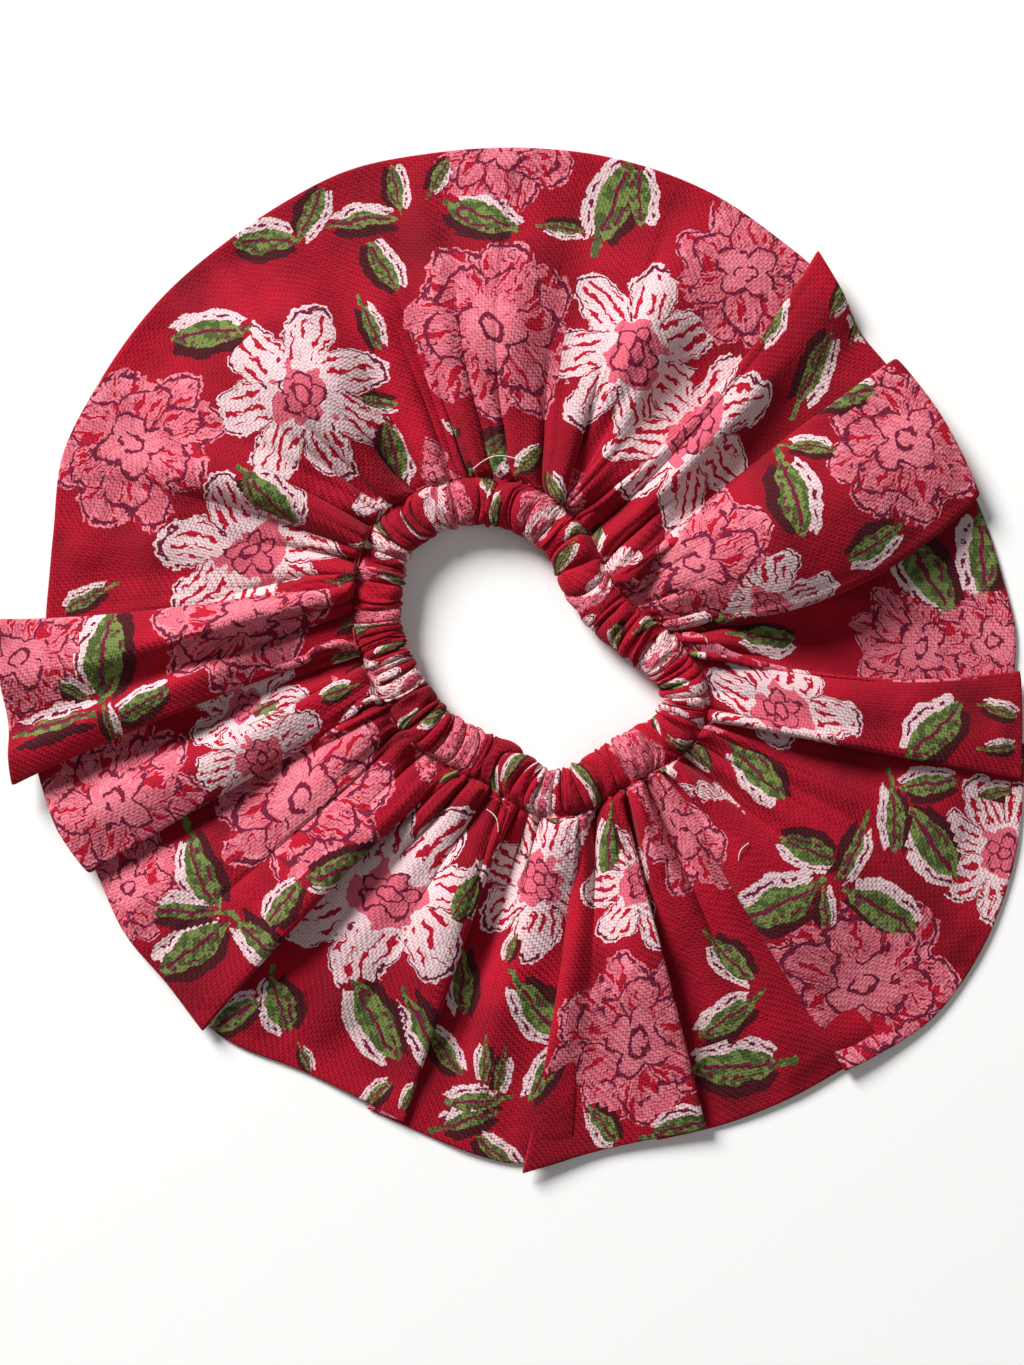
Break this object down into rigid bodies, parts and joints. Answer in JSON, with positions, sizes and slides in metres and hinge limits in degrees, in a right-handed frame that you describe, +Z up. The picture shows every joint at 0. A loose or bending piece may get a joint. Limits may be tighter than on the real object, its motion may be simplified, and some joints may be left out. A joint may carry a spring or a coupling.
{
  "type": "scrunchie",
  "caption": "Gathered hair tie of printed cotton with a wide flat frill, a puckered casing and a stretching elastic loop inside.",
  "frame": {"origin": "under the middle of the bounding box, on the table the object lies on", "axes": "+Z up out of the table; X and Y in the table, +X towards the pointed side of the hair opening, along which two hands pull the ring open"},
  "size_m": [0.1821, 0.1838, 0.0132],
  "materials": {
    "printed_cotton": "plain-weave cotton, block printed on a crimson ground, matt, softly creased",
    "cotton_reverse": "paler wrong side and raw edges of the same cotton, matt",
    "elastic_braid": "white flat braid over rubber strands, matt",
    "red_thread": "polyester sewing thread, slight sheen",
    "white_thread": "polyester sewing thread, slight sheen"
  },
  "bodies": {
    "w": {"frill_w": "printed_cotton", "casing_w": "printed_cotton", "elastic_w": "elastic_braid", "seam_allowance_w": "cotton_reverse", "casing_stitch_w": "red_thread", "seam_thread_w": "red_thread"},
    "nw": {"frill_nw": "printed_cotton", "casing_nw": "printed_cotton", "elastic_nw": "elastic_braid", "seam_allowance_nw": "cotton_reverse", "casing_stitch_nw": "red_thread", "seam_thread_nw": "red_thread"},
    "sw": {"frill_sw": "printed_cotton", "casing_sw": "printed_cotton", "elastic_sw": "elastic_braid", "seam_allowance_sw": "cotton_reverse", "casing_stitch_sw": "red_thread", "seam_thread_sw": "red_thread"},
    "n": {"frill_n": "printed_cotton", "casing_n": "printed_cotton", "elastic_n": "elastic_braid", "seam_allowance_n": "cotton_reverse", "casing_stitch_n": "red_thread", "seam_thread_n": "red_thread"},
    "s": {"frill_s": "printed_cotton", "casing_s": "printed_cotton", "elastic_s": "elastic_braid", "seam_allowance_s": "cotton_reverse", "casing_stitch_s": "red_thread", "seam_thread_s": "red_thread", "elastic_lap": "elastic_braid", "lap_tack_thread": "white_thread", "closing_stitch": "red_thread", "end_seam_allowance": "cotton_reverse", "end_seam_thread": "red_thread", "loose_thread": "red_thread"},
    "ne": {"frill_ne": "printed_cotton", "casing_ne": "printed_cotton", "elastic_ne": "elastic_braid", "seam_allowance_ne": "cotton_reverse", "casing_stitch_ne": "red_thread", "seam_thread_ne": "red_thread"},
    "se": {"frill_se": "printed_cotton", "casing_se": "printed_cotton", "elastic_se": "elastic_braid", "seam_allowance_se": "cotton_reverse", "casing_stitch_se": "red_thread", "seam_thread_se": "red_thread"},
    "e": {"frill_e": "printed_cotton", "casing_e": "printed_cotton", "elastic_e": "elastic_braid", "seam_allowance_e": "cotton_reverse", "casing_stitch_e": "red_thread", "seam_thread_e": "red_thread"}
  },
  "joints": [
    {"name": "stretch", "type": "slide", "parent": "w", "child": "e", "axis": [1, 0, 0], "range_m": [0, 0.06], "stiffness_N_per_m": 70},
    {"name": "stretch_ne", "type": "slide", "parent": "w", "child": "ne", "axis": [1, 0, 0], "range_m": [0, 0.0482]},
    {"name": "stretch_se", "type": "slide", "parent": "w", "child": "se", "axis": [1, 0, 0], "range_m": [0, 0.0506]},
    {"name": "stretch_n", "type": "slide", "parent": "w", "child": "n", "axis": [1, 0, 0], "range_m": [0, 0.0266]},
    {"name": "stretch_s", "type": "slide", "parent": "w", "child": "s", "axis": [1, 0, 0], "range_m": [0, 0.0338]},
    {"name": "stretch_nw", "type": "slide", "parent": "w", "child": "nw", "axis": [1, 0, 0], "range_m": [0, 0.0086]},
    {"name": "stretch_sw", "type": "slide", "parent": "w", "child": "sw", "axis": [1, 0, 0], "range_m": [0, 0.0122]}
  ],
  "couplings": [
    {"joint": "stretch_ne", "follows": "stretch", "ratio": 0.8},
    {"joint": "stretch_se", "follows": "stretch", "ratio": 0.84},
    {"joint": "stretch_n", "follows": "stretch", "ratio": 0.44},
    {"joint": "stretch_s", "follows": "stretch", "ratio": 0.56},
    {"joint": "stretch_nw", "follows": "stretch", "ratio": 0.14},
    {"joint": "stretch_sw", "follows": "stretch", "ratio": 0.2}
  ]
}
